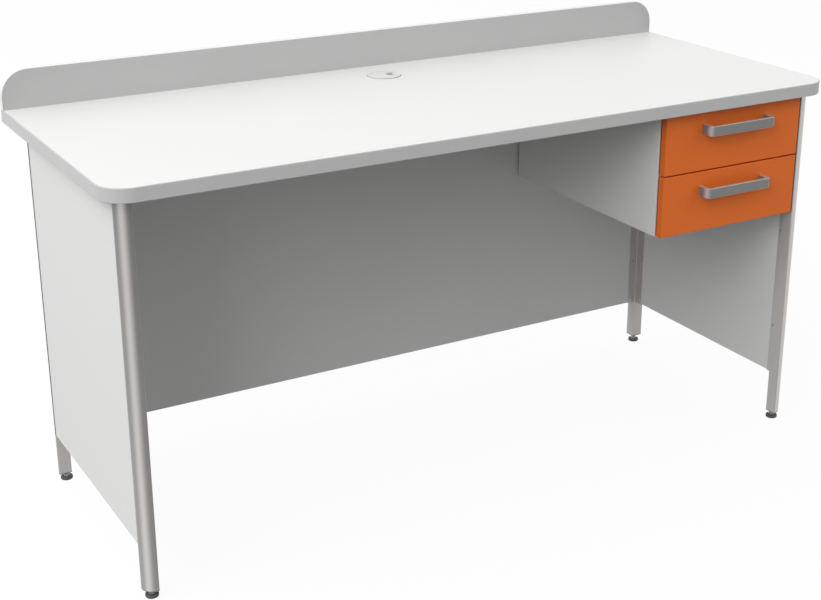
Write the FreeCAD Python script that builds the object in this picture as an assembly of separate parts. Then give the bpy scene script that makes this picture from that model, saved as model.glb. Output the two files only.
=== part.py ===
import FreeCAD, Part
import os

from FreeCAD import Vector

# Laboratory table with an upstand, aluminium corner legs and a hanging two-drawer unit.
# Millimetres. X runs along the table, -Y is the front. The origin is on the floor, under the middle of
# the length and of the depth from the handles to the back edge.

# Worktop
top_length = 1500.0
top_depth = 600.0
table_height = 750.0
top_thick = 25.0
top_corner_radius = 50.0
edging_thick = 2.0
edging_round = 1.5

# Upstand along the back edge
upstand_height = 74.0
upstand_thick = 16.0
upstand_corner_radius = 50.0
upstand_screw_length = 60.0
upstand_screw_radius = 2.5
upstand_screw_head_radius = 4.5
upstand_screw_head_height = 2.5
upstand_screw_shares = (0.06, 0.35, 0.65, 0.94)

# Cable grommet in the worktop
grommet_from_back = 108.0
grommet_hole_radius = 30.3
grommet_clearance = 0.3
grommet_wall = 2.0
grommet_flange_width = 5.0
grommet_flange_thick = 2.0
grommet_flange_round = 1.2
grommet_depth = 22.0
grommet_ledge_width = 2.5
grommet_ledge_thick = 2.0
grommet_cap_thick = 2.6
grommet_cap_clearance = 0.5
grommet_cap_round = 0.6
notch_width = 20.0
notch_start = 5.0

# Corner legs: a hollow quarter-round extrusion with rebate flanges for the panels
leg_size = 25.0
leg_radius = 22.0
leg_wall = 1.8
leg_edge_round = 1.0
leg_overhang_side = 25.0
leg_overhang_front = 25.0
leg_overhang_back = 50.0
flange_length = 14.0
flange_thick = 2.0

# Levelling feet and the plugs that they screw into
foot_inset = 16.0
foot_pad_radius = 12.0
foot_pad_height = 7.0
foot_pad_round = 2.2
foot_stem_radius = 5.0
foot_stem_show = 8.5
foot_stem_engaged = 24.0
foot_collar_radius = 7.5
foot_collar_height = 2.0
foot_clearance = 0.3
plug_cap_thick = 1.5
plug_length = 26.0

# Side and back panels
panel_thick = 16.0
panel_bottom = 103.0
panel_edge_round = 0.8
panel_screw_shares = (0.17, 0.515, 0.86)

# Wood screws of the panels, brackets and drawer unit
screw_radius = 1.75
screw_length = 13.0
screw_head_radius = 3.8
screw_head_height = 2.0

# Angle brackets between the panels and the worktop
bracket_leg = 30.0
bracket_width = 18.0
bracket_thick = 2.0
bracket_side_shares = (0.22, 0.78)
bracket_back_shares = (0.1, 0.36, 0.62)
bracket_screw_share = 0.6

# Hanging drawer unit
unit_width = 340.0
unit_height = 250.5
unit_leg_gap = 2.0
unit_back_gap = 1.0
unit_rail_width = 80.0
unit_screw_shares = (0.2, 0.8)
unit_screw_length = 28.0

# Drawer fronts
front_thick = 18.0
front_stand_out = 1.0
front_gap = 3.0
front_side_gap = 1.0
front_bottom_gap = 2.0
front_top_gap = 1.5
front_back_gap = 2.0
front_edge_round = 1.2

# Drawer boxes
box_board = 16.0
box_rise = 22.0
box_drop = 17.5
box_back_space = 36.0
bottom_thick = 3.2
bottom_height = 10.0
groove_depth = 6.0

# Bow handles and their screws
handle_length = 162.0
handle_height = 20.0
handle_reach = 29.0
handle_strip = 6.0
handle_post = 8.0
handle_outer_radius = 9.0
handle_inner_radius = 3.0
handle_edge_round = 1.0
handle_above_centre = 23.3
handle_screw_radius = 2.0
handle_screw_grip = 10.0
handle_screw_head_radius = 4.0
handle_screw_head_height = 2.4

# Roller runners, measured from the side of the unit towards the drawer
runner_gap = 12.5
runner_steel = 1.2
runner_channel = 20.0
runner_reach = 10.5
runner_setback = 3.0
runner_drop = 2.0
runner_shelf = 14.0
track_start = 3.0
track_clear = 0.3
roller_radius_front = 8.0
roller_radius_rear = 9.7
roller_width = 7.0
roller_edge_round = 0.8
roller_bore_clearance = 0.3
roller_side_clearance = 0.4
roller_end_distance = 14.0
roller_pin_radius = 2.5
roller_pin_head_radius = 3.6
roller_pin_head = 0.8

# Cuts run past the faces that they open
overrun = 5.0

# Planes that the pieces share
leg_out_x = top_length / 2 - leg_overhang_side
leg_in_x = leg_out_x - leg_size
handle_proud = max(handle_reach + front_stand_out - leg_overhang_front, 0)
top_front = (handle_proud - top_depth) / 2
top_back = top_front + top_depth
front_y = top_front + leg_overhang_front
back_y = top_back - leg_overhang_back
under_z = table_height - top_thick
panel_in_x = leg_out_x - panel_thick
panel_in_y = back_y - panel_thick
leg_bottom = foot_pad_height + foot_stem_show + plug_cap_thick
unit_right = leg_in_x - unit_leg_gap
unit_left = unit_right - unit_width
unit_bottom = under_z - unit_height
front_face_y = front_y - front_stand_out
box_front = front_face_y + front_thick
unit_front = box_front + front_back_gap
unit_back = panel_in_y - flange_thick - screw_head_height - unit_back_gap
unit_in_left = unit_left + panel_thick
unit_in_right = unit_right - panel_thick
front_height = (unit_height - front_bottom_gap - front_gap - front_top_gap) / 2
box_height = front_height - box_rise - box_drop
box_back = unit_back - box_back_space
box_left = unit_in_left + runner_gap
box_right = unit_in_right - runner_gap
handle_x = (unit_left + unit_right) / 2
handle_post_x = (handle_length - handle_post) / 2


def export(name, shape):
    """One STEP file for each named piece."""
    shape.exportStep("parts/" + name + ".step")


def box(x0, x1, y0, y1, z0, z1):
    """Plain block between two corners."""
    return Part.makeBox(x1 - x0, y1 - y0, z1 - z0, Vector(x0, y0, z0))


def board(x0, x1, y0, y1, z0, z1, edge_round):
    """Block with all its edges rounded."""
    block = box(x0, x1, y0, y1, z0, z1)
    return block.makeFillet(edge_round, block.Edges)


def outline(corners):
    """Closed wire in the XY plane through (x, y, radius) corners, each rounded by a tangent arc."""
    points = [Vector(x, y, 0) for x, y, radius in corners]
    runs = []
    arcs = []
    for index, (x, y, radius) in enumerate(corners):
        corner = points[index]
        to_before = (points[index - 1] - corner).normalize()
        to_after = (points[(index + 1) % len(points)] - corner).normalize()
        middle = (to_before + to_after).normalize()
        sine = to_before.cross(middle).Length
        tangent = radius * to_before.dot(middle) / sine
        start = corner + to_before * tangent
        end = corner + to_after * tangent
        runs.append((start, end))
        arc_top = corner + middle * (radius / sine - radius)
        arcs.append(Part.Arc(start, arc_top, end).toShape() if radius > 0 else None)
    edges = []
    for index, arc in enumerate(arcs):
        if arc:
            edges.append(arc)
        end = runs[index][1]
        following = runs[(index + 1) % len(runs)][0]
        if not end.isEqual(following, Part.Precision.confusion()):
            edges.append(Part.LineSegment(end, following).toShape())
    return Part.Wire(edges)


def prism(corners, z0, z1):
    """Upright prism on a rounded outline."""
    base = Part.Face(outline(corners))
    base.translate(Vector(0, 0, z0))
    return base.extrude(Vector(0, 0, z1 - z0))


def disc(centre, axis, radius, length):
    """Cylinder from a centre along an axis."""
    return Part.makeCylinder(radius, length, centre, axis)


def flat_edges(shape, *heights):
    """Edges that lie at one of the given heights."""
    found = []
    for edge in shape.Edges:
        for height in heights:
            low = edge.BoundBox.ZMin - height
            high = edge.BoundBox.ZMax - height
            if max(abs(low), abs(high)) < Part.Precision.confusion() * top_length:
                found.append(edge)
    return found


def screw(head_seat, axis, shank_radius, shank_length, head_radius, head_height):
    """Round-headed screw: the head stands on its seat, the shank runs along the axis."""
    shank = disc(head_seat, axis, shank_radius, shank_length)
    head = disc(head_seat, -axis, head_radius, head_height)
    head = head.makeFillet(head_height / 2, [head.Edges[0]])
    return shank.fuse(head).removeSplitter()


def wood_screw(head_seat, axis, length=screw_length):
    """Screw of the panels, brackets and drawer unit."""
    return screw(head_seat, axis, screw_radius, length, screw_head_radius, screw_head_height)


def along(low, high, shares):
    """Places at the given shares of a stretch."""
    return [low + (high - low) * share for share in shares]


def worktop_outline(inset):
    """Rectangle with two rounded front corners, drawn in from the finished edge."""
    x = top_length / 2 - inset
    front = top_front + inset
    back = top_back - inset
    radius = top_corner_radius - inset
    return [(-x, front, radius), (x, front, radius), (x, back, 0), (-x, back, 0)]


def make_worktop():
    """Board with the grommet hole, inside a band of edging with rounded rims."""
    core = prism(worktop_outline(edging_thick), under_z, table_height)
    hole = disc(grommet_centre(under_z - overrun), Vector(0, 0, 1), grommet_hole_radius, top_thick + 2 * overrun)
    export("worktop", core.cut(hole))
    band = prism(worktop_outline(0), under_z, table_height)
    band = band.makeFillet(edging_round, flat_edges(band, under_z, table_height))
    inside = prism(worktop_outline(edging_thick), under_z - overrun, table_height + overrun)
    export("worktop_edging", band.cut(inside))


def make_upstand():
    """Low wall on the back edge of the worktop, with rounded top corners, screwed from below."""
    x = top_length / 2
    corners = [(-x, 0, 0), (x, 0, 0), (x, upstand_height, upstand_corner_radius),
               (-x, upstand_height, upstand_corner_radius)]
    wall = prism(corners, 0, upstand_thick)
    rims = [edge for edge in flat_edges(wall, 0, upstand_thick) if edge.BoundBox.YMax > edging_round]
    wall = wall.makeFillet(edging_round, rims)
    wall.rotate(Vector(0, 0, 0), Vector(1, 0, 0), 90)
    wall.translate(Vector(0, top_back, table_height))
    screws = []
    for x in along(-top_length / 2, top_length / 2, upstand_screw_shares):
        seat = Vector(x, top_back - upstand_thick / 2, under_z)
        screws.append(screw(seat, Vector(0, 0, 1), upstand_screw_radius, upstand_screw_length,
                            upstand_screw_head_radius, upstand_screw_head_height))
    screws = Part.makeCompound(screws)
    export("upstand", wall.cut(screws))
    export("upstand_screws", screws)


def grommet_centre(z):
    """Point on the axis of the cable grommet."""
    return Vector(0, top_back - grommet_from_back, z)


def make_grommet():
    """Flanged liner in the worktop, and a cap with a cable notch that turns on the liner's ledge."""
    up = Vector(0, 0, 1)
    sleeve_radius = grommet_hole_radius - grommet_clearance
    bore_radius = sleeve_radius - grommet_wall
    flange_top = table_height + grommet_flange_thick
    cap_bottom = flange_top - grommet_cap_thick
    sleeve_bottom = table_height - grommet_depth
    flange = disc(grommet_centre(table_height), up, sleeve_radius + grommet_flange_width, grommet_flange_thick)
    flange = flange.makeFillet(grommet_flange_round, flat_edges(flange, flange_top))
    sleeve = disc(grommet_centre(sleeve_bottom), up, sleeve_radius, grommet_depth)
    cap_seat = disc(grommet_centre(cap_bottom), up, bore_radius, grommet_cap_thick + overrun)
    ledge_bottom = cap_bottom - grommet_ledge_thick
    way = disc(grommet_centre(sleeve_bottom), up, bore_radius - grommet_ledge_width, grommet_depth)
    below = disc(grommet_centre(sleeve_bottom - overrun), up, bore_radius, ledge_bottom - sleeve_bottom + overrun)
    liner = flange.fuse(sleeve).removeSplitter()
    export("grommet_liner", liner.cut(cap_seat).cut(way).cut(below))
    cap_radius = bore_radius - grommet_cap_clearance
    cap = disc(grommet_centre(cap_bottom), up, cap_radius, grommet_cap_thick)
    cap = cap.makeFillet(grommet_cap_round, flat_edges(cap, flange_top))
    centre = grommet_centre(0)
    half = notch_width / 2
    notch = prism([(notch_start, centre.y - half, half), (cap_radius + overrun, centre.y - half, 0),
                   (cap_radius + overrun, centre.y + half, 0), (notch_start, centre.y + half, half)],
                  cap_bottom - overrun, flange_top + overrun)
    export("grommet_cap", cap.cut(notch))


def leg_point(side, end, inward, along_depth):
    """Plan point measured from the outer faces of a leg, for a side of -1 or 1 and an end of -1 or 1."""
    face_y = front_y if end < 0 else back_y
    return side * (leg_out_x - inward), face_y - end * along_depth


def leg_outline(side, end, inset):
    """Square with one large outer corner, drawn in by a wall."""
    far = leg_size - inset
    edge_round = max(leg_edge_round - inset, 0)
    corners = [(inset, inset, leg_radius - inset), (far, inset, edge_round), (far, far, edge_round),
               (inset, far, edge_round)]
    return [leg_point(side, end, u, v) + (radius,) for u, v, radius in corners]


def leg_block(side, end, u0, u1, v0, v1, z0, z1):
    """Block placed from the outer faces of a leg."""
    xa, ya = leg_point(side, end, u0, v0)
    xb, yb = leg_point(side, end, u1, v1)
    return box(min(xa, xb), max(xa, xb), min(ya, yb), max(ya, yb), z0, z1)


def flange_screws(side, end, on_back):
    """Screws through the middle of a flange into the panel that lies in its rebate."""
    reach = leg_size + flange_length / 2
    face = panel_thick + flange_thick
    screws = []
    for z in along(panel_bottom, under_z, panel_screw_shares):
        if on_back:
            x, y = leg_point(side, end, reach, face)
            axis = Vector(0, end, 0)
        else:
            x, y = leg_point(side, end, face, reach)
            axis = Vector(side, 0, 0)
        screws.append(wood_screw(Vector(x, y, z), axis))
    return screws


def make_leg(side, end):
    """Hollow extrusion whose flanges are trimmed to the height of the panels, and its screws."""
    leg = prism(leg_outline(side, end, 0), leg_bottom, under_z)
    hollow = prism(leg_outline(side, end, leg_wall), leg_bottom - overrun, under_z + overrun)
    leg = leg.cut(hollow)
    inner = panel_thick + flange_thick
    root = leg_size - leg_wall
    tip = leg_size + flange_length
    screws = flange_screws(side, end, False)
    leg = leg.fuse(leg_block(side, end, panel_thick, inner, root, tip, panel_bottom, under_z))
    if end > 0:
        leg = leg.fuse(leg_block(side, end, root, tip, panel_thick, inner, panel_bottom, under_z))
        screws += flange_screws(side, end, True)
    return leg.removeSplitter().cut(Part.makeCompound(screws)), screws


def make_foot(side, end):
    """End plug of a leg, and the levelling foot that screws into it: steel stem and moulded pad."""
    up = Vector(0, 0, 1)
    x, y = leg_point(side, end, foot_inset, foot_inset)
    plug = prism(leg_outline(side, end, 0), leg_bottom - plug_cap_thick, leg_bottom)
    plug = plug.fuse(prism(leg_outline(side, end, leg_wall), leg_bottom - plug_cap_thick, leg_bottom + plug_length))
    thread = disc(Vector(x, y, 0), up, foot_stem_radius + foot_clearance, leg_bottom + plug_length + overrun)
    stem_bottom = foot_pad_height / 2
    stem = disc(Vector(x, y, stem_bottom), up, foot_stem_radius, leg_bottom + foot_stem_engaged - stem_bottom)
    collar = disc(Vector(x, y, foot_pad_height), up, foot_collar_radius, foot_collar_height)
    pad = disc(Vector(x, y, 0), up, foot_pad_radius, foot_pad_height)
    pad = pad.makeFillet(foot_pad_round, flat_edges(pad, 0, foot_pad_height))
    stem = stem.fuse(collar)
    return plug.removeSplitter().cut(thread), stem.removeSplitter(), pad.cut(stem)


def make_legs():
    """Four legs on feet, and the screws that hold the panels in their rebates."""
    screws = []
    plugs = []
    for side, side_name in ((-1, "left"), (1, "right")):
        for end, end_name in ((-1, "front"), (1, "back")):
            name = end_name + "_" + side_name
            leg, leg_screws = make_leg(side, end)
            plug, stem, pad = make_foot(side, end)
            screws += leg_screws
            plugs.append(plug)
            export("leg_" + name, leg)
            export("foot_stem_" + name, stem)
            export("foot_pad_" + name, pad)
    screws = Part.makeCompound(screws)
    export("leg_end_plugs", Part.makeCompound(plugs))
    export("panel_screws", screws)
    return screws


def make_panels(screws):
    """Side and back panels that stop above the floor, bored for the given screws."""
    for side, side_name in ((-1, "left"), (1, "right")):
        low_x = min(side * panel_in_x, side * leg_out_x)
        panel = board(low_x, low_x + panel_thick, front_y + leg_size, back_y - leg_size, panel_bottom, under_z,
                      panel_edge_round)
        export("side_panel_" + side_name, panel.cut(screws))
    panel = board(-leg_in_x, leg_in_x, panel_in_y, back_y, panel_bottom, under_z, panel_edge_round)
    export("back_panel", panel.cut(screws))


def bracket_at(place, turn):
    """Angle bracket under the worktop with one screw in each leg, turned to face away from its panel."""
    half = bracket_width / 2
    angle = box(0, bracket_thick, -half, half, -bracket_leg, 0)
    angle = angle.fuse(box(0, bracket_leg, -half, half, -bracket_thick, 0)).removeSplitter()
    reach = bracket_leg * bracket_screw_share
    screws = [wood_screw(Vector(bracket_thick, 0, -reach), Vector(-1, 0, 0)),
              wood_screw(Vector(reach, 0, -bracket_thick), Vector(0, 0, 1))]
    angle = angle.cut(Part.makeCompound(screws))
    pieces = [angle] + screws
    for piece in pieces:
        piece.rotate(Vector(0, 0, 0), Vector(0, 0, 1), turn)
        piece.translate(place)
    return pieces[0], pieces[1:]


def make_brackets():
    """Brackets that hold the worktop on the left side panel and on the back panel."""
    brackets = []
    screws = []
    places = []
    for y in along(front_y, back_y, bracket_side_shares):
        places.append((Vector(-panel_in_x, y, under_z), 0))
    for x in along(-leg_in_x, leg_in_x, bracket_back_shares):
        places.append((Vector(x, panel_in_y, under_z), -90))
    for place, turn in places:
        bracket, bracket_screws = bracket_at(place, turn)
        brackets.append(bracket)
        screws += bracket_screws
    screws = Part.makeCompound(screws)
    export("worktop_brackets", Part.makeCompound(brackets))
    export("bracket_screws", screws)
    return screws


def make_unit():
    """Hanging drawer unit: two sides, a bottom and two top rails that are screwed up into the worktop."""
    left = board(unit_left, unit_in_left, unit_front, unit_back, unit_bottom, under_z, panel_edge_round)
    right = board(unit_in_right, unit_right, unit_front, unit_back, unit_bottom, under_z, panel_edge_round)
    export("unit_side_left", left)
    export("unit_side_right", right)
    export("unit_bottom", box(unit_in_left, unit_in_right, unit_front, unit_back, unit_bottom,
                              unit_bottom + panel_thick))
    rail_z = under_z - panel_thick
    rails = {"unit_rail_front": unit_front, "unit_rail_back": unit_back - unit_rail_width}
    screws = []
    for name, rail_y in rails.items():
        rail = box(unit_in_left, unit_in_right, rail_y, rail_y + unit_rail_width, rail_z, under_z)
        rail_screws = []
        for x in along(unit_in_left, unit_in_right, unit_screw_shares):
            seat = Vector(x, rail_y + unit_rail_width / 2, rail_z)
            rail_screws.append(wood_screw(seat, Vector(0, 0, 1), unit_screw_length))
        export(name, rail.cut(Part.makeCompound(rail_screws)))
        screws += rail_screws
    export("unit_screws", Part.makeCompound(screws))


def lengthwise(section, side_x, way, y0, y1):
    """Sheet-metal section of (distance from the unit's side, height) points, carried along Y."""
    points = [Vector(side_x + way * w, y0, z) for w, z in section]
    face = Part.Face(Part.makePolygon(points + points[:1]))
    return face.extrude(Vector(0, y1 - y0, 0))


def across(side_x, way, start, y, z, radius, length):
    """Cylinder that points from the side of the unit towards the drawer."""
    return disc(Vector(side_x + way * start, y, z), Vector(way, 0, 0), radius, length)


def roller_at(side_x, way, start, y, z, radius):
    """Roller with a bore and rounded rims."""
    tread = across(side_x, way, start, y, z, radius, roller_width)
    rims = [edge for edge in tread.Edges if edge.Closed and edge.BoundBox.XLength < roller_width / 2]
    tread = tread.makeFillet(roller_edge_round, rims)
    bore = across(side_x, way, start, y, z, roller_pin_radius + roller_bore_clearance, roller_width)
    return tread.cut(bore)


def make_runner(side_x, way, floor):
    """Channel rail on the unit with a pin for its front roller, and the drawer's runner with a rear pin."""
    rail_front = unit_front + runner_setback
    ceiling = floor + runner_channel
    channel = [(0, floor - runner_steel), (runner_reach, floor - runner_steel), (runner_reach, floor),
               (runner_steel, floor), (runner_steel, ceiling), (runner_reach, ceiling),
               (runner_reach, ceiling + runner_steel), (0, ceiling + runner_steel)]
    rail = lengthwise(channel, side_x, way, rail_front, box_back)
    front_y_axis = rail_front + roller_end_distance
    front_z = floor + track_clear + roller_radius_front
    front_start = runner_steel + roller_side_clearance
    pin_length = roller_width + 2 * roller_side_clearance
    head_start = runner_steel + pin_length
    rail = rail.fuse(across(side_x, way, 0, front_y_axis, front_z, roller_pin_radius, head_start))
    rail = rail.fuse(across(side_x, way, head_start, front_y_axis, front_z, roller_pin_head_radius, roller_pin_head))
    front_roller = roller_at(side_x, way, front_start, front_y_axis, front_z, roller_radius_front)

    track = floor + 2 * track_clear + 2 * roller_radius_front
    web = runner_gap - runner_steel
    shelf = floor + runner_drop
    section = [(track_start, track), (web, track), (web, shelf), (runner_gap + runner_shelf, shelf),
               (runner_gap + runner_shelf, shelf + runner_steel), (runner_gap, shelf + runner_steel),
               (runner_gap, track + runner_steel), (track_start, track + runner_steel)]
    runner = lengthwise(section, side_x, way, box_front, box_back)
    rear_y = box_back - roller_end_distance
    rear_z = floor + track_clear + roller_radius_rear
    track_end = rear_y - roller_radius_rear - roller_end_distance / 2
    cut_side = sorted((side_x + way * (track_start - overrun), side_x + way * web))
    runner = runner.cut(box(cut_side[0], cut_side[1], track_end, box_back + overrun, track - overrun,
                            track + runner_steel + overrun))
    rear_start = web - roller_side_clearance - roller_width
    pin_start = rear_start - roller_side_clearance
    runner = runner.fuse(across(side_x, way, pin_start, rear_y, rear_z, roller_pin_radius, runner_gap - pin_start))
    runner = runner.fuse(across(side_x, way, pin_start - roller_pin_head, rear_y, rear_z, roller_pin_head_radius,
                                roller_pin_head))
    rear_roller = roller_at(side_x, way, rear_start, rear_y, rear_z, roller_radius_rear)
    return rail.removeSplitter(), front_roller, runner.removeSplitter(), rear_roller


def make_handle(centre_z):
    """Bow handle: a flat strip whose ends bend back to the drawer front, with a screw in each end."""
    half = handle_length / 2
    inner = half - handle_post
    tip = front_face_y - handle_reach
    strip_back = tip + handle_strip
    corners = [(handle_x - half, front_face_y, 0), (handle_x - half, tip, handle_outer_radius),
               (handle_x + half, tip, handle_outer_radius), (handle_x + half, front_face_y, 0),
               (handle_x + inner, front_face_y, 0), (handle_x + inner, strip_back, handle_inner_radius),
               (handle_x - inner, strip_back, handle_inner_radius), (handle_x - inner, front_face_y, 0)]
    low = centre_z - handle_height / 2
    bow = prism(corners, low, low + handle_height)
    bow = bow.makeFillet(handle_edge_round, flat_edges(bow, low, low + handle_height))
    seat_y = box_front + box_board
    screws = []
    for x in (handle_x - handle_post_x, handle_x + handle_post_x):
        length = seat_y - front_face_y + handle_screw_grip
        screws.append(screw(Vector(x, seat_y, centre_z), Vector(0, -1, 0), handle_screw_radius, length,
                            handle_screw_head_radius, handle_screw_head_height))
    return bow, Part.makeCompound(screws)


def make_drawer(name, front_bottom):
    """Drawer: box with a grooved-in bottom, orange front, bow handle, runners and rollers."""
    low = front_bottom + box_rise
    high = low + box_height
    front = board(unit_left + front_side_gap, unit_right - front_side_gap, front_face_y, box_front, front_bottom,
                  front_bottom + front_height, front_edge_round)
    handle, screws = make_handle(front_bottom + front_height / 2 + handle_above_centre)
    left_in = box_left + box_board
    right_in = box_right - box_board
    front_in = box_front + box_board
    back_in = box_back - box_board
    bottom_z = low + bottom_height
    floor_board = box(left_in - groove_depth, right_in + groove_depth, front_in - groove_depth,
                      back_in + groove_depth, bottom_z, bottom_z + bottom_thick)
    walls = {"side_left": box(box_left, left_in, box_front, box_back, low, high),
             "side_right": box(right_in, box_right, box_front, box_back, low, high),
             "inner_front": box(left_in, right_in, box_front, front_in, low, high).cut(screws),
             "back": box(left_in, right_in, back_in, box_back, low, high)}
    for wall_name, wall in walls.items():
        export(name + "_drawer_" + wall_name, wall.cut(floor_board))
    export(name + "_drawer_bottom", floor_board)
    export(name + "_drawer_front", front.cut(screws))
    export(name + "_drawer_handle", handle.cut(screws))
    export(name + "_drawer_handle_screws", screws)
    floor = low - runner_steel - runner_drop
    front_rollers = []
    rear_rollers = []
    for side_name, side_x, way in (("left", unit_in_left, 1), ("right", unit_in_right, -1)):
        rail, front_roller, runner, rear_roller = make_runner(side_x, way, floor)
        export(name + "_rail_" + side_name, rail)
        export(name + "_drawer_runner_" + side_name, runner)
        front_rollers.append(front_roller)
        rear_rollers.append(rear_roller)
    export(name + "_front_rollers", Part.makeCompound(front_rollers))
    export(name + "_rear_rollers", Part.makeCompound(rear_rollers))


os.makedirs("parts", exist_ok=True)
make_worktop()
make_upstand()
make_grommet()
leg_screws = make_legs()
bracket_screws = make_brackets()
make_panels(Part.makeCompound([leg_screws, bracket_screws]))
make_unit()
make_drawer("lower", unit_bottom + front_bottom_gap)
make_drawer("upper", unit_bottom + front_bottom_gap + front_height + front_gap)
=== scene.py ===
import math

import bpy
import numpy as np
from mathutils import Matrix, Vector


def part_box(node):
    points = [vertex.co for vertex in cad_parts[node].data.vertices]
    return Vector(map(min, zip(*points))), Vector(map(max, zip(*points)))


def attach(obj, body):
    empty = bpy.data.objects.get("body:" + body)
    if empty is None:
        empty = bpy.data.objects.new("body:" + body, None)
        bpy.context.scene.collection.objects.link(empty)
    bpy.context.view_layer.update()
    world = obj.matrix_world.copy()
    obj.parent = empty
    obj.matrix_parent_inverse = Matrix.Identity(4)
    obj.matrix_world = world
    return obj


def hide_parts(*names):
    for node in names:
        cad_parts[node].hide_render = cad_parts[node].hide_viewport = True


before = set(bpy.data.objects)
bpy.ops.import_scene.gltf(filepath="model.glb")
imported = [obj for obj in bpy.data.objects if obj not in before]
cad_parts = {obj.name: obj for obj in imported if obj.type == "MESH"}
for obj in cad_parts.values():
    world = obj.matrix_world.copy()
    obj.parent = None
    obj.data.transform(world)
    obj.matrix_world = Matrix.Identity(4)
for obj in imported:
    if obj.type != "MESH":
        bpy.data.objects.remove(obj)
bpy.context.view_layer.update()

# Viewpoint
# A standing person's view on the front left corner of the table, through a long lens.
# The frame is 821 by 600 pixels, with the lens axis a little right of and above its middle.
photo_width = 821
photo_height = 600
focal_pixels = 1477.046
axis_pixel = (429.116, 264.717)
sensor_width = 36.0
camera_place = (-1.397851, -2.412256, 1.419625)
camera_azimuth = -29.981
camera_elevation = 20.068


def direction_to(azimuth, elevation):
    """Unit vector from the table, by degrees to the right of its front and degrees above the floor."""
    turn = math.radians(azimuth)
    rise = math.radians(elevation)
    return Vector((math.sin(turn) * math.cos(rise), -math.cos(turn) * math.cos(rise), math.sin(rise)))


camera_data = bpy.data.cameras.new("camera")
camera_data.sensor_width = sensor_width
camera_data.lens = focal_pixels / photo_width * sensor_width
camera_data.shift_x = (photo_width / 2 - axis_pixel[0]) / photo_width
camera_data.shift_y = (axis_pixel[1] - photo_height / 2) / photo_width
camera = bpy.data.objects.new("camera", camera_data)
camera.location = camera_place
camera.rotation_mode = "QUATERNION"
camera.rotation_quaternion = (-direction_to(camera_azimuth, camera_elevation)).to_track_quat("-Z", "Y")
bpy.context.scene.collection.objects.link(camera)
bpy.context.scene.camera = camera
bpy.context.scene.view_settings.view_transform = "Standard"


# Studio
# A white floor that keeps a faint shadow, large soft lamps on the left and the front left, weak ones
# on the right and behind, and a pale sky that is white where it is seen or mirrored.
class Shade:
    """A socket of a node tree: arithmetic on it adds Math nodes, and node() adds any other kind.

    A comparison gives 1 where it holds and 0 elsewhere.
    """

    def __init__(self, tree, socket=None):
        self.tree = tree
        self.socket = socket

    def feed(self, node, values):
        """Puts numbers, colours or other sockets into the named sockets of a node."""
        for name, value in values.items():
            if isinstance(value, Shade):
                self.tree.links.new(value.socket, node.inputs[name])
            else:
                node.inputs[name].default_value = value

    def node(self, kind, settings, values, output=0):
        """A node of a type, with its settings set first and then its sockets."""
        node = self.tree.nodes.new("ShaderNode" + kind)
        for name, value in settings.items():
            setattr(node, name, value)
        self.feed(node, values)
        return Shade(self.tree, node.outputs[output])

    def math(self, operation, first, second=0.0):
        """A Math node on one or two values."""
        return self.node("Math", {"operation": operation}, {0: first, 1: second})

    def __add__(self, other):
        return self.math("ADD", self, other)

    def __sub__(self, other):
        return self.math("SUBTRACT", self, other)

    def __rsub__(self, other):
        return self.math("SUBTRACT", other, self)

    def __mul__(self, other):
        return self.math("MULTIPLY", self, other)

    def __pow__(self, power):
        return self.math("POWER", self, power)

    def __abs__(self):
        return self.math("ABSOLUTE", self)

    def __gt__(self, limit):
        return self.math("GREATER_THAN", self, limit)

    def __lt__(self, limit):
        return self.math("LESS_THAN", self, limit)

    def at_least(self, limit):
        """The value, or the limit where the value is below it."""
        return self.math("MAXIMUM", self, limit)

    def at_most(self, limit):
        """The value, or the limit where the value is above it."""
        return self.math("MINIMUM", self, limit)


def seen_directly(tree):
    """1 for rays from the camera, a mirror or glass, and 0 for rays that only carry light."""
    camera_ray, mirror_ray, glass_ray = [Shade(tree).node("LightPath", {}, {}, "Is " + kind + " Ray")
                                         for kind in ("Camera", "Glossy", "Transmission")]
    return (camera_ray + mirror_ray + glass_ray).at_most(1.0)


def grey(level):
    """Opaque neutral colour."""
    return (level, level, level, 1.0)


white = grey(1.0)
sky_light = 0.45
world = bpy.data.worlds.new("sky")
world.use_nodes = True
bpy.context.scene.world = world
sky_tree = world.node_tree
sky_strength = seen_directly(sky_tree) * (1.0 - sky_light) + sky_light
sky_strength.feed(sky_tree.nodes["Background"], {"Color": white, "Strength": sky_strength})

floor_half = 30.0
floor_drop = 0.0005
floor_bounce = 0.25
floor_white = 0.92
floor_shadow_share = 0.06
floor_corners = [(x * floor_half, y * floor_half, -floor_drop)
                 for x, y in ((-1, -1), (1, -1), (1, 1), (-1, 1))]
floor_mesh = bpy.data.meshes.new("floor")
floor_mesh.from_pydata(floor_corners, [], [(0, 1, 2, 3)])
floor = bpy.data.objects.new("floor", floor_mesh)
bpy.context.scene.collection.objects.link(floor)
floor_material = bpy.data.materials.new("floor_paper")
floor_material.use_nodes = True
floor_tree = floor_material.node_tree
floor_tree.nodes.remove(floor_tree.nodes["Principled BSDF"])
paper = Shade(floor_tree)
paper_bounce = paper.node("BsdfDiffuse", {}, {"Color": grey(floor_bounce)})
paper_lit = paper.node("BsdfDiffuse", {}, {"Color": grey(floor_white)})
paper_glow = paper.node("Emission", {}, {"Color": white, "Strength": 1.0})
paper_seen = paper.node("MixShader", {}, {0: floor_shadow_share, 1: paper_glow, 2: paper_lit})
paper_all = paper.node("MixShader", {}, {0: seen_directly(floor_tree), 1: paper_bounce, 2: paper_seen})
paper.feed(floor_tree.nodes["Material Output"], {"Surface": paper_all})
floor_mesh.materials.append(floor_material)

lamp_distance = 10.0


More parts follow.
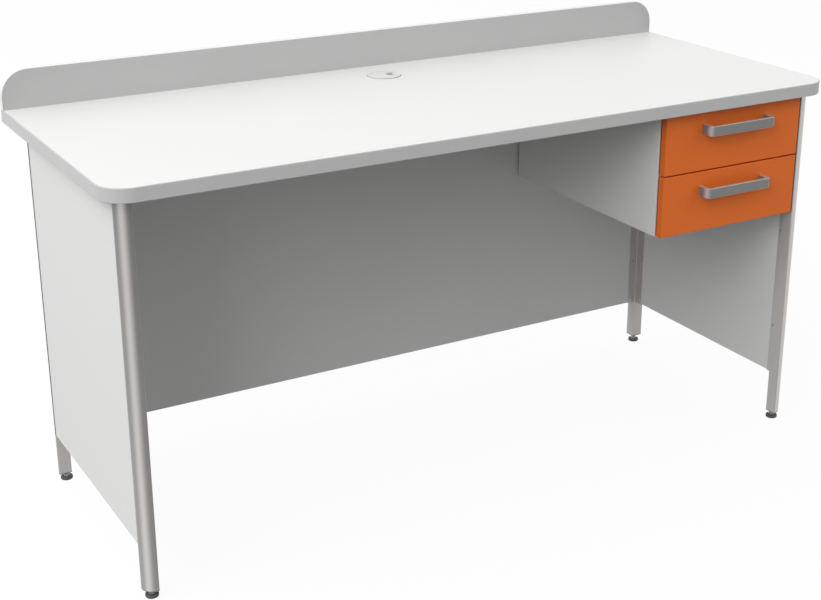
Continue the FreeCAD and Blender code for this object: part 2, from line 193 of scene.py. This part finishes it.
def soft_lamp(name, azimuth, elevation, size, level):
    """Square lamp that faces the table; at level 1 a white sheet turned to it renders as white."""
    back = direction_to(azimuth, elevation)
    data = bpy.data.lights.new(name, "AREA")
    data.shape = "SQUARE"
    data.size = size
    data.energy = level * (math.pi * lamp_distance) ** 2
    lamp = bpy.data.objects.new(name, data)
    lamp.location = Vector((0.0, 0.0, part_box("worktop")[1].z)) + back * lamp_distance
    lamp.rotation_mode = "QUATERNION"
    lamp.rotation_quaternion = back.to_track_quat("Z", "Y")
    bpy.context.scene.collection.objects.link(lamp)


soft_lamp("left_lamp", azimuth=-95.0, elevation=45.0, size=7.0, level=0.42)
soft_lamp("front_lamp", azimuth=-52.0, elevation=30.0, size=6.0, level=0.50)
soft_lamp("right_lamp", azimuth=55.0, elevation=28.0, size=6.0, level=0.18)
soft_lamp("back_lamp", azimuth=195.0, elevation=35.0, size=6.0, level=0.18)

# Worktop
# Chipboard 25 mm thick with a smooth matt white laminate on top and a grey backing sheet below;
# the front corners are cut round. It lies on the side and back panels, held by angle brackets.
mix_share_input, mix_low_input, mix_high_input, mix_colour_output = 0, 6, 7, 2


def noise(place, scale, detail=2.0, stretch=(1.0, 1.0, 1.0)):
    """Soft random value about one half, drawn out along the axes whose stretch is small."""
    spread = place.node("VectorMath", {"operation": "MULTIPLY"}, {0: place, 1: stretch})
    return place.node("TexNoise", {}, {"Vector": spread, "Scale": scale, "Detail": detail})


def between(share, low, high):
    """Colour at a share of the way from one colour to another, each of them fixed or itself worked out."""
    low, high = [colour if isinstance(colour, Shade) else (*colour, 1.0) for colour in (low, high)]
    inputs = {mix_share_input: share, mix_low_input: low, mix_high_input: high}
    return share.node("Mix", {"data_type": "RGBA"}, inputs, mix_colour_output)


def relief(height, depth):
    """Surface normal of a height map with the given depth in metres."""
    return height.node("Bump", {}, {"Height": height, "Distance": depth, "Strength": 1.0})


def finish(name, fixed, varying):
    """Material: fixed sockets of the shader as numbers, and those that varying(place) works out."""
    material = bpy.data.materials.new(name)
    material.use_nodes = True
    tree = material.node_tree
    shader = tree.nodes["Principled BSDF"]
    place = Shade(tree).node("TexCoord", {}, {}, "Object")
    place.feed(shader, fixed)
    place.feed(shader, varying(place))
    return material


def dress(material, *nodes):
    """Gives CAD nodes their material."""
    for node in nodes:
        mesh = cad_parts[node].data
        mesh.materials.clear()
        mesh.materials.append(material)


def scaled(colour, factor):
    """A colour made lighter or darker."""
    return tuple(channel * factor for channel in colour)


cloud_scale = 5.0
cloud_tone = 0.6
cloud_gloss = 0.12
speck_coarseness = 4
speck_tone = 0.4
speck_gloss = 0.10


def laminate(colour, clouding, grain_scale, grain_depth, roughness):
    """Printed and pressed sheet: faint clouds in the colour, a fine press-plate grain and uneven gloss."""
    def varying(place):
        clouds = noise(place, cloud_scale, detail=3.0)
        grain = noise(place, grain_scale, detail=3.0)
        specks = noise(place, grain_scale / speck_coarseness, detail=1.0)
        tone = clouds * cloud_tone + specks * speck_tone
        middle = roughness - (cloud_gloss + speck_gloss) / 2
        return {"Base Color": between(tone, scaled(colour, 1.0 - clouding), scaled(colour, 1.0 + clouding)),
                "Roughness": clouds * cloud_gloss + specks * speck_gloss + middle,
                "Normal": relief(grain, grain_depth)}
    return varying


def along_axes(vector):
    """X, Y and Z of a place or a direction."""
    return [vector.node("SeparateXYZ", {}, {"Vector": vector}, axis) for axis in "XYZ"]


def facing(place):
    """X, Y and Z of the direction that a surface faces."""
    return along_axes(place.node("NewGeometry", {}, {}, "Normal"))


downward_limit = -0.5
laminate_gloss = {"Specular IOR Level": 0.4}


def worktop_look(place):
    """White laminate on top, and a grey backing sheet with a fibrous tone where the board faces down."""
    values = laminate((0.80, 0.80, 0.79), clouding=0.02, grain_scale=1400.0, grain_depth=0.00003,
                      roughness=0.42)(place)
    backing = between(noise(place, scale=260.0, detail=4.0), (0.30, 0.30, 0.295), (0.37, 0.37, 0.36))
    laminated = facing(place)[2] > downward_limit
    values["Base Color"] = between(laminated, backing, values["Base Color"])
    return values


dress(finish("worktop_laminate", laminate_gloss, worktop_look), "worktop")


# Edging
# Light grey plastic band 2 mm thick, glued round the edge of the worktop,
# with its rims scraped round and polished.
def edging_look(place):
    """Extruded strip: fine lines along its length, worn a little paler in patches."""
    lines = noise(place, scale=90.0, stretch=(0.3, 0.3, 30.0))
    patches = noise(place, scale=9.0, detail=3.0)
    return {"Base Color": between(patches, (0.49, 0.49, 0.49), (0.53, 0.53, 0.525)),
            "Roughness": patches * 0.2 + 0.28,
            "Normal": relief(lines, depth=0.00002)}


dress(finish("edging_plastic", {}, edging_look), "worktop_edging")

# Upstand
# Low wall of board along the back edge, matt light grey laminate with white edging and two round top
# corners. It stands on the worktop and is held by long screws from below.
upstand_face_limit = 0.6


def upstand_look(place):
    """Grey laminate on the two faces along Y, and a white band on every edge between them."""
    values = laminate((0.455, 0.455, 0.455), clouding=0.025, grain_scale=1100.0, grain_depth=0.00004,
                      roughness=0.48)(place)
    band = between(noise(place, scale=9.0, detail=3.0), (0.78, 0.78, 0.775), (0.83, 0.83, 0.82))
    face = abs(facing(place)[1]) > upstand_face_limit
    values["Base Color"] = between(face, band, values["Base Color"])
    return values


dress(finish("upstand_laminate", laminate_gloss, upstand_look), "upstand")

# Cable grommet
# White moulded plastic: a flanged liner pressed into the worktop, and a cap with a cable notch
# that turns in it.
grommet_inside_share = 0.85
grommet_flat_limit = 0.9


def grommet_look(place):
    """Moulded plastic with a spark-eroded skin, slight flow clouds, and painted shade on the flange's outer
    rim, where a surface faces sideways or down.
    """
    skin = noise(place, scale=2600.0)
    flow = noise(place, scale=60.0, detail=3.0)
    low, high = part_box("grommet_liner")
    axis = ((low.x + high.x) / 2, (low.y + high.y) / 2, 0.0)
    plan = place.node("VectorMath", {"operation": "MULTIPLY"}, {0: place, 1: (1.0, 1.0, 0.0)})
    from_axis = place.node("VectorMath", {"operation": "DISTANCE"}, {0: plan, 1: axis}, "Value")
    inside = from_axis < grommet_inside_share * (high.x - low.x) / 2
    # Painted shade: faces that are not flat on top and lie outside the inner share get the dark grey.
    clear_of_painted_shade = (facing(place)[2] > grommet_flat_limit).at_least(inside)
    return {"Base Color": between(flow * 0.2 + clear_of_painted_shade * 0.8, (0.34, 0.34, 0.335), (0.76, 0.76, 0.755)),
            "Roughness": flow * 0.2 + 0.4,
            "Normal": relief(skin, depth=0.00002)}


dress(finish("grommet_plastic", {}, grommet_look), "grommet_liner", "grommet_cap")


# Corner legs
# Hollow quarter-round aluminium extrusions, satin anodised; die lines run down their whole length,
# and the round corner carries a painted highlight, brighter than the flats. Their flanges lie behind the
# panels.
def away_from_middle(place):
    """Above 0 on upright faces that look away from the middle of the table, below 0 on those towards it."""
    normal = facing(place)
    position = along_axes(place)
    return normal[0] * position[0] + normal[1] * position[1]


# Painted highlight: how the band of lighter, shinier metal sits on the round corner.
highlight_side_power = 3.5
highlight_front_power = 5.0
highlight_gain = 17.8
right_highlight_reach = 0.1
right_highlight_gain = 6.0


def painted_highlight_band(place):
    """Where the painted highlight goes: 0 on upright flats along X and Y, rising to 1 on a round corner,
    a little nearer to the front face.

    On the right-hand legs the band is wider towards the front.
    """
    x, y, _ = facing(place)
    band = abs(x) ** highlight_side_power * abs(y) ** highlight_front_power * highlight_gain
    on_right = along_axes(place)[0] > 0.0
    front_right = (x + right_highlight_reach).at_least(0.0) * (0.0 - y).at_least(0.0) * on_right
    return band.at_least(front_right * right_highlight_gain).at_most(1.0)


inner_face_limit = -0.15
even_height_share = 0.65


def anodised_look(place):
    """Satin metal: die lines along Z, streaks and a cloudy etch, with painted light: a painted highlight on
    the round corner, outer faces along X a little lighter, inner faces painted brighter except beside the
    drawer unit, where they keep a painted shade, and the left legs painted paler towards the floor."""
    lines = noise(place, scale=700.0, stretch=(1.0, 1.0, 0.004))
    streaks = noise(place, scale=120.0, stretch=(1.0, 1.0, 0.01))
    etch = noise(place, scale=1800.0)
    # Painted light and shade: highlight on the outer corner, lighter outer faces along X, brighter inner
    # faces, darker inner faces beside the drawer unit, and the left legs paler towards the floor.
    outward = away_from_middle(place)
    outside = outward > 0.0
    painted_highlight = painted_highlight_band(place) * outside
    painted_light_flank = outside * abs(facing(place)[0])
    x, _, z = along_axes(place)
    beside_unit = (x > 0.0) * (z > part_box("unit_bottom")[0].z)
    painted_light_inner = (outward < inner_face_limit) * (1.0 - beside_unit)
    painted_light_towards_floor = outside * (x < 0.0) * (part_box("leg_front_left")[1].z * even_height_share - z)
    tone = (streaks * 0.14 + etch * 0.06 + painted_highlight * 0.7 + painted_light_inner * 0.54 + painted_light_flank * 0.1
            + painted_light_towards_floor * 0.3)
    return {"Base Color": between(tone, (0.170, 0.164, 0.160), (0.63, 0.602, 0.585)),
            "Metallic": painted_highlight * 0.4 + 0.35,
            "Roughness": streaks * 0.12 - painted_highlight * 0.06 + 0.30,
            "Normal": relief(lines * 0.7 + etch * 0.3, depth=0.00003)}


leg_names = [end + "_" + side for end in ("front", "back") for side in ("left", "right")]
dress(finish("anodised_aluminium", {}, anodised_look), *["leg_" + name for name in leg_names])


# Leg plugs
# Dark moulded plastic plugs with a nut for the foot, driven into the lower ends of the legs.
# Only their caps show, from below.
def dark_plastic(low, high):
    """Moulded plastic with a fine matt skin, paler in worn patches."""
    def varying(place):
        skin = noise(place, scale=1500.0)
        wear_and_painted_highlight = noise(place, scale=45.0, detail=4.0)
        return {"Base Color": between(wear_and_painted_highlight, low, high),
                "Roughness": wear_and_painted_highlight * 0.25 + 0.38,
                "Normal": relief(skin, depth=0.00006)}
    return varying


dress(finish("plug_plastic", {}, dark_plastic((0.16, 0.16, 0.155), (0.22, 0.22, 0.215))), "leg_end_plugs")

# Levelling feet
# A black moulded pad on a zinc-plated M10 threaded stem with a hexagonal collar for the spanner.
# The stem screws into the leg's plug to level the table.
dress(finish("foot_plastic", {}, dark_plastic((0.045, 0.045, 0.045), (0.085, 0.085, 0.085))),
      *["foot_pad_" + name for name in leg_names])


def zinc_look(place):
    """Bright zinc plate: small crystalline clouds in the tone and gloss, and a fine rolled grain."""
    clouds = noise(place, scale=350.0, detail=3.0)
    grain = noise(place, scale=2500.0)
    return {"Base Color": between(clouds, (0.33, 0.33, 0.335), (0.46, 0.46, 0.465)),
            "Roughness": clouds * 0.25 + 0.22,
            "Normal": relief(grain, depth=0.00001)}


zinc_steel = finish("zinc_steel", {"Metallic": 0.9}, zinc_look)


def closed_mesh(rows):
    """Points and faces of rings of points (ring, point, xyz).

    Quads join each ring to the next one, and a fan of triangles joins each end ring to its middle.
    """
    rings, around = rows.shape[:2]
    count = rings * around
    points = np.concatenate([rows.reshape(count, 3), rows[[0, -1]].mean(axis=1)])
    column = np.arange(around)
    following = (column + 1) % around
    ring = np.arange(rings - 1)[:, None] * around
    quads = np.stack([ring + column, ring + following, ring + around + following, ring + around + column],
                     axis=-1).reshape(-1, 4)
    last = count - around
    first_fan = np.stack([following, column, np.full(around, count)], axis=-1)
    last_fan = np.stack([last + column, last + following, np.full(around, count + 1)], axis=-1)
    return points, quads, np.concatenate([first_fan, last_fan])


def new_piece(name, solids, material, sharp_angle):
    """One object from closed meshes, with the edges between faces steeper than an angle left sharp."""
    points = []
    faces = []
    start = 0
    for solid_points, quads, triangles in solids:
        points.append(solid_points)
        faces += (quads + start).tolist() + (triangles + start).tolist()
        start += len(solid_points)
    mesh = bpy.data.meshes.new(name)
    mesh.from_pydata(np.concatenate(points).tolist(), [], faces)
    mesh.shade_smooth()
    mesh.set_sharp_from_angle(angle=sharp_angle)
    mesh.materials.append(material)
    piece = bpy.data.objects.new(name, mesh)
    bpy.context.scene.collection.objects.link(piece)
    return piece


def around_axis(points):
    """Angles of so many points round a circle."""
    return np.linspace(0.0, 2 * np.pi, points, endpoint=False)


def thread_ridge(turn, height, pitch):
    """0 in the root and 1 on the crest of a screw thread: a triangle wave along a helix."""
    phase = (height / pitch - turn / (2 * np.pi)) % 1.0
    return 1.0 - np.abs(2.0 * phase - 1.0)


foot_pitch = 0.0015
foot_thread_depth = 0.0007
foot_rings_per_pitch = 6
foot_points = 48
foot_sharp = math.radians(35.0)
stem_to_collar = 2 / 3
collar_height = 0.0020
spanner_corners = 6


def foot_stem(low, high, collar_low):
    """Rings up a vertical stem: plain below the collar, six-sided in it, and threaded above it.

    The six-sided ring's radius is the flat's distance over the cosine of the turn from the flat.
    """
    centre = (low + high) / 2
    collar_radius = (high.x - low.x) / 2
    stem_radius = collar_radius * stem_to_collar
    turn = around_axis(foot_points)
    collar_high = collar_low + collar_height
    chamfer = foot_thread_depth
    threads = np.arange(collar_high, high.z - chamfer, foot_pitch / foot_rings_per_pitch)
    heights = np.concatenate([[low.z, collar_low, collar_low, collar_low + chamfer / 2,
                               collar_high - chamfer / 2, collar_high, collar_high], threads, [high.z]])
    part = 2 * np.pi / spanner_corners
    from_flat = (turn + part / 2) % part - part / 2
    hexagon = collar_radius * np.cos(part / 2) / np.cos(from_flat)
    plain = np.full_like(turn, stem_radius - foot_thread_depth)
    eased = np.minimum(hexagon, collar_radius - chamfer)
    ridge = thread_ridge(turn[None, :], threads[:, None], foot_pitch)
    wound = stem_radius - foot_thread_depth * (1.0 - ridge)
    collar = np.stack([plain, plain, eased, hexagon, hexagon, eased, plain])
    radius = np.concatenate([collar, wound, plain[None, :] - chamfer])
    return closed_mesh(np.stack([centre.x + radius * np.cos(turn), centre.y + radius * np.sin(turn),
                                 np.broadcast_to(heights[:, None], radius.shape)], axis=-1))


for name in leg_names:
    stem_low, stem_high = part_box("foot_stem_" + name)
    pad_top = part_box("foot_pad_" + name)[1].z
    stem_solid = foot_stem(stem_low, stem_high, pad_top)
    stem = new_piece("threaded_foot_" + name, [stem_solid], zinc_steel, foot_sharp)
    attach(stem, "foot_" + name)
    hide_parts("foot_stem_" + name)

# Side and back panels
# White melamine board 16 mm thick, edged all round, the back one with painted shade, a tenth darker; the
# panels sit in the rebates of the legs and stop a hand's width above the floor.
panel_white = (0.725, 0.725, 0.72)
# Painted shade: the back panel is the side panels' melamine made a tenth darker.
back_painted_shade = 0.90
panel_press = {"clouding": 0.025, "grain_scale": 900.0, "grain_depth": 0.00005, "roughness": 0.48}
panel_melamine = finish("panel_melamine", laminate_gloss, laminate(panel_white, **panel_press))
back_painted_shade_white = scaled(panel_white, back_painted_shade)
back_melamine_painted_shade = finish("back_melamine_painted_shade", laminate_gloss, laminate(back_painted_shade_white, **panel_press))
dress(panel_melamine, "side_panel_left", "side_panel_right")
dress(back_melamine_painted_shade, "back_panel")

# Joint strips
# Thin round beads of dark plastic, pressed into the joints between the back legs and the side panels
# over the whole height of the panels: painted shade, standing for the shadow in these joints.
strip_radius = 0.0012
strip_points = 16
strip_sharp = math.radians(40.0)


def joint_strip(x, y, low, high):
    """Bead carried straight up: the same circle about the joint at its lower and its upper end."""
    turn = around_axis(strip_points)
    heights = np.array([low, high])[:, None]
    rings = np.broadcast_arrays(x + strip_radius * np.cos(turn), y + strip_radius * np.sin(turn), heights)
    return closed_mesh(np.stack(rings, axis=-1))


# Painted shade: the near-black bead stands for the shadow in each joint.
painted_shade_strip_plastic = finish("painted_shade_strip_plastic", {}, dark_plastic((0.035, 0.035, 0.034), (0.055, 0.055, 0.053)))
strip_solids = []
for side, outer_corner in (("left", 0), ("right", 1)):
    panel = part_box("side_panel_" + side)
    strip_solids.append(joint_strip(panel[outer_corner].x, panel[1].y, panel[0].z, panel[1].z))
strips = new_piece("painted_shade_joint_strips", strip_solids, painted_shade_strip_plastic, strip_sharp)
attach(strips, "table")

# Screws of the panels, brackets, upstand and drawer unit
# Zinc-plated pan-head screws with a cross recess, driven from inside through the leg flanges,
# the angle brackets and the top rails of the drawer unit.
screw_points = 40
screw_sharp = math.radians(40.0)
head_rings = 12
head_start_share = 0.06
head_rim_share = 0.45
recess_arm_share = 0.16
recess_wall_share = 0.06
recess_reach_share = 0.62
recess_end_share = 0.1
recess_depth_share = 0.6
thread_depth_share = 0.22
thread_pitch_share = 1.1
thread_rings_per_pitch = 5
least_shank_rings = 12
tip_share = 0.12
tip_end_share = 0.06


def screw(seat, axis, radius, length, head_radius, head_height):
    """Rings from the middle of a domed head, over its rim, along a threaded shank to a point.

    The head is a quarter ellipse; the recess sinks it where the point lies in either arm of a cross.
    """
    turn = around_axis(screw_points)[None, :]
    out = (np.linspace(head_start_share, 1.0, head_rings) * head_radius)[:, None]
    ellipse = np.sqrt(np.maximum(1.0 - (out / head_radius) ** 2, 0.0))
    dome = head_height * (head_rim_share + (1.0 - head_rim_share) * ellipse)
    arm = np.minimum(np.abs(out * np.cos(turn)), np.abs(out * np.sin(turn))) / head_radius
    inside_arm = np.clip((recess_arm_share - arm) / recess_wall_share, 0.0, 1.0)
    inside_reach = np.clip((recess_reach_share - out / head_radius) / recess_end_share, 0.0, 1.0)
    dome = dome - recess_depth_share * head_height * inside_arm * inside_reach
    pitch = thread_pitch_share * radius
    shank_rings = max(int(length / pitch * thread_rings_per_pitch), least_shank_rings)
    along_shank = np.linspace(0.0, length, shank_rings)[:, None]
    point = np.clip((length - along_shank) / (tip_share * length), tip_end_share, 1.0)
    ridge = thread_ridge(turn, along_shank, pitch)
    shank = radius * point * (1.0 - thread_depth_share * (1.0 - ridge))
    rim = np.full_like(turn, head_radius)
    distance = np.concatenate([np.broadcast_to(out, dome.shape), rim, shank])
    depth = np.concatenate([-dome, 0.0 * rim, np.broadcast_to(along_shank, shank.shape)])
    side = axis.orthogonal().normalized()
    other = axis.cross(side)
    rows = (np.array(seat) + depth[..., None] * np.array(axis)
            + (distance * np.cos(turn))[..., None] * np.array(side)
            + (distance * np.sin(turn))[..., None] * np.array(other))
    return closed_mesh(rows)


def fasten(name, node, body, solids):
    """One piece of like screws that stands for a CAD node."""
    piece = new_piece(name, solids, zinc_steel, screw_sharp)
    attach(piece, body)
    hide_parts(node)


def stretch_points(low, high, shares):
    """Places at shares of a stretch."""
    return [low + (high - low) * share for share in shares]


backward = Vector((0.0, 1.0, 0.0))
upward = Vector((0.0, 0.0, 1.0))
screw_sizes = {"radius": 0.00175, "length": 0.013, "head_radius": 0.0038, "head_height": 0.002}
leg_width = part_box("leg_front_left")[1].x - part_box("leg_front_left")[0].x
flange_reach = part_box("leg_front_left")[1].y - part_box("leg_front_left")[0].y
flange_middle = (leg_width + flange_reach) / 2
flange_thick = 0.002
panel_low, panel_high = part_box("side_panel_left")
flange_face = panel_high.x - panel_low.x + flange_thick
panel_screw_shares = (0.17, 0.515, 0.86)
panel_screw_solids = []
for name in leg_names:
    leg_low, leg_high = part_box("leg_" + name)
    out_x = 1.0 if name.endswith("right") else -1.0
    out_y = 1.0 if name.startswith("back") else -1.0
    face_x = leg_high.x if out_x > 0 else leg_low.x
    face_y = leg_high.y if out_y > 0 else leg_low.y
    for z in stretch_points(panel_low.z, panel_high.z, panel_screw_shares):
        seat = Vector((face_x - out_x * flange_face, face_y - out_y * flange_middle, z))
        panel_screw_solids.append(screw(seat, Vector((out_x, 0.0, 0.0)), **screw_sizes))
        if out_y > 0:
            seat = Vector((face_x - out_x * flange_middle, face_y - flange_face, z))
            panel_screw_solids.append(screw(seat, backward, **screw_sizes))
fasten("cross_head_panel_screws", "panel_screws", "table", panel_screw_solids)

bracket_leg = 0.030
bracket_thick = 0.002
bracket_hole_share = 0.6
bracket_screw_reach = bracket_leg * bracket_hole_share
bracket_side_shares = (0.22, 0.78)
bracket_back_shares = (0.1, 0.36, 0.62)
back_low, back_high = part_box("back_panel")
front_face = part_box("leg_front_left")[0].y
under_top = panel_high.z


def bracket_screws(corner, into_panel):
    """Two screws of a bracket under the worktop, one into the panel and one up into the worktop."""
    level = corner - into_panel * bracket_thick - upward * bracket_screw_reach
    upright = corner - into_panel * bracket_screw_reach - upward * bracket_thick
    return [screw(level, into_panel, **screw_sizes), screw(upright, upward, **screw_sizes)]


bracket_screw_solids = []
for y in stretch_points(front_face, back_high.y, bracket_side_shares):
    bracket_screw_solids += bracket_screws(Vector((panel_high.x, y, under_top)), Vector((-1.0, 0.0, 0.0)))
for x in stretch_points(back_low.x, back_high.x, bracket_back_shares):
    bracket_screw_solids += bracket_screws(Vector((x, back_low.y, under_top)), backward)
fasten("cross_head_bracket_screws", "bracket_screws", "table", bracket_screw_solids)

unit_screw_sizes = {**screw_sizes, "length": 0.028}
unit_screw_shares = (0.2, 0.8)
unit_screw_solids = []
for rail in ("unit_rail_front", "unit_rail_back"):
    rail_low, rail_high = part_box(rail)
    for x in stretch_points(rail_low.x, rail_high.x, unit_screw_shares):
        seat = Vector((x, (rail_low.y + rail_high.y) / 2, rail_low.z))
        unit_screw_solids.append(screw(seat, upward, **unit_screw_sizes))
fasten("cross_head_unit_screws", "unit_screws", "table", unit_screw_solids)

upstand_screw_sizes = {"radius": 0.0025, "length": 0.060, "head_radius": 0.0045, "head_height": 0.0025}
upstand_screw_shares = (0.06, 0.35, 0.65, 0.94)
upstand_low, upstand_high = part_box("upstand")
upstand_screw_solids = []
for x in stretch_points(upstand_low.x, upstand_high.x, upstand_screw_shares):
    seat = Vector((x, (upstand_low.y + upstand_high.y) / 2, under_top))
    upstand_screw_solids.append(screw(seat, upward, **upstand_screw_sizes))
fasten("cross_head_upstand_screws", "upstand_screws", "table", upstand_screw_solids)

# Angle brackets
# Bent strips of 2 mm zinc-plated steel under the worktop, with one leg on the panel
# and the other one on the top.
dress(zinc_steel, "worktop_brackets")

# Drawer unit
# A case of white melamine board, two sides, a bottom and two rails dowelled together,
# hung under the right end of the worktop by screws through the rails.
dress(panel_melamine, "unit_side_left", "unit_side_right", "unit_bottom", "unit_rail_front", "unit_rail_back")


# Runners and rollers
# Rolled steel sections in white enamel: a channel rail on each side of the unit, a runner under each
# side of the drawer, and nylon rollers on riveted pins.
def enamel_look(place):
    """Stoved enamel: orange-peel skin and faint rubbed tracks along the run."""
    peel = noise(place, scale=500.0)
    tracks = noise(place, scale=300.0, stretch=(1.0, 0.02, 1.0))
    return {"Base Color": between(tracks, (0.70, 0.70, 0.69), (0.80, 0.80, 0.79)),
            "Roughness": tracks * 0.25 + 0.2,
            "Normal": relief(peel, depth=0.00002)}


def nylon_look(place):
    """Natural nylon, a little yellow, with a moulded matt skin."""
    skin = noise(place, scale=1200.0)
    flow = noise(place, scale=150.0)
    return {"Base Color": between(flow, (0.74, 0.73, 0.68), (0.82, 0.81, 0.77)),
            "Roughness": flow * 0.2 + 0.35,
            "Normal": relief(skin, depth=0.00003)}


runner_enamel = finish("runner_enamel", {}, enamel_look)
roller_nylon = finish("roller_nylon", {}, nylon_look)
drawer_names = ("lower", "upper")
for name in drawer_names:
    dress(runner_enamel, name + "_rail_left", name + "_rail_right", name + "_drawer_runner_left",
          name + "_drawer_runner_right")
    dress(roller_nylon, name + "_front_rollers", name + "_rear_rollers")

# Drawer boxes
# White melamine boards dowelled at the corners, with a hardboard bottom slid into a groove:
# its upper face is white, the lower one is the bare brown board.
lacquered_limit = 0.5


def hardboard_look(place):
    """White lacquer on top, and pressed brown fibres where the surface faces down."""
    fibres = noise(place, scale=420.0, detail=5.0)
    felt = noise(place, scale=1200.0, detail=3.0)
    lacquered = facing(place)[2] > lacquered_limit
    bare = between(fibres, (0.16, 0.085, 0.04), (0.30, 0.175, 0.09))
    lacquer = between(felt, (0.71, 0.71, 0.70), (0.77, 0.77, 0.755))
    return {"Base Color": between(lacquered, bare, lacquer),
            "Roughness": felt * 0.2 + 0.45,
            "Normal": relief(fibres, depth=0.00006)}


drawer_melamine = finish("drawer_melamine", laminate_gloss,
                         laminate((0.78, 0.78, 0.775), clouding=0.02, grain_scale=900.0, grain_depth=0.00004,
                                  roughness=0.5))
hardboard = finish("hardboard", {}, hardboard_look)
drawer_walls = ("inner_front", "side_left", "side_right", "back")
for name in drawer_names:
    dress(drawer_melamine, *[name + "_drawer_" + wall for wall in drawer_walls])
    dress(hardboard, name + "_drawer_bottom")

# Drawer fronts
# Orange laminate on board 18 mm thick, edged in the same orange,
# screwed to the box from inside by the handle screws.
painted_shade_rim_depth = 0.003
rear_face_limit = 0.5


def orange_look(place):
    """Orange laminate whose edges carry painted shade on their rear rim, as dark as the joint behind them in
    shade.
    """
    values = laminate((0.775, 0.161, 0.022), clouding=0.03, grain_scale=800.0, grain_depth=0.00004,
                      roughness=0.45)(place)
    # Painted shade: the rear 3 mm of the front's edges turn dark brown.
    edge = facing(place)[1] < rear_face_limit
    rim = (along_axes(place)[1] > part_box("upper_drawer_front")[1].y - painted_shade_rim_depth) * edge
    painted_shade_brown = between(noise(place, scale=300.0, detail=3.0), (0.10, 0.035, 0.015), (0.16, 0.05, 0.02))
    values["Base Color"] = between(rim, values["Base Color"], painted_shade_brown)
    return values


orange_front = finish("orange_front", {"Specular IOR Level": 0.25}, orange_look)
dress(orange_front, *[name + "_drawer_front" for name in drawer_names])

# Bow handles
# Flat aluminium bars, bent back at both ends and lacquered grey, each held by two machine screws
# from inside the drawer.
bend_depth = 0.0165
bend_fade_per_metre = 130.0


def handle_look(place):
    """Satin grey lacquer over metal that was brushed along the bar, with a painted highlight on its upper
    and lower faces and on the sides of its ends where they bend back."""
    brushed = noise(place, scale=900.0, stretch=(0.01, 1.0, 1.0))
    clouds = noise(place, scale=70.0)
    sideways, _, upright = [abs(part) for part in facing(place)]
    bend_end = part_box("upper_drawer_handle")[0].y + bend_depth
    in_bend = ((bend_end - along_axes(place)[1]) * bend_fade_per_metre).at_most(1.0).at_least(0.0)
    # Painted highlight: upper and lower faces, and the sides of the bent ends, fading out towards the drawer
    # front.
    wear_and_painted_highlight = (sideways * sideways * in_bend * 0.7).at_least(upright)
    return {"Base Color": between(brushed * 0.16 + wear_and_painted_highlight * 0.84, (0.165, 0.165, 0.165), (0.62, 0.62, 0.62)),
            "Metallic": upright * 0.4 + 0.2,
            "Roughness": clouds * 0.12 + 0.24,
            "Normal": relief(brushed, depth=0.00002)}


handle_grey = finish("handle_grey", {}, handle_look)
dress(handle_grey, *[name + "_drawer_handle" for name in drawer_names])

handle_screw_sizes = {"radius": 0.002, "head_radius": 0.004, "head_height": 0.0024}
handle_post = 0.008
handle_screw_grip = 0.010
for name in drawer_names:
    handle_low, handle_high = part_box(name + "_drawer_handle")
    seat_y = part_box(name + "_drawer_inner_front")[1].y
    length = seat_y - handle_high.y + handle_screw_grip
    handle_screw_solids = []
    for x in (handle_low.x + handle_post / 2, handle_high.x - handle_post / 2):
        seat = Vector((x, seat_y, (handle_low.z + handle_high.z) / 2))
        handle_screw_solids.append(screw(seat, -backward, length=length, **handle_screw_sizes))
    fasten(name + "_cross_head_handle_screws", name + "_drawer_handle_screws", name + "_drawer",
           handle_screw_solids)
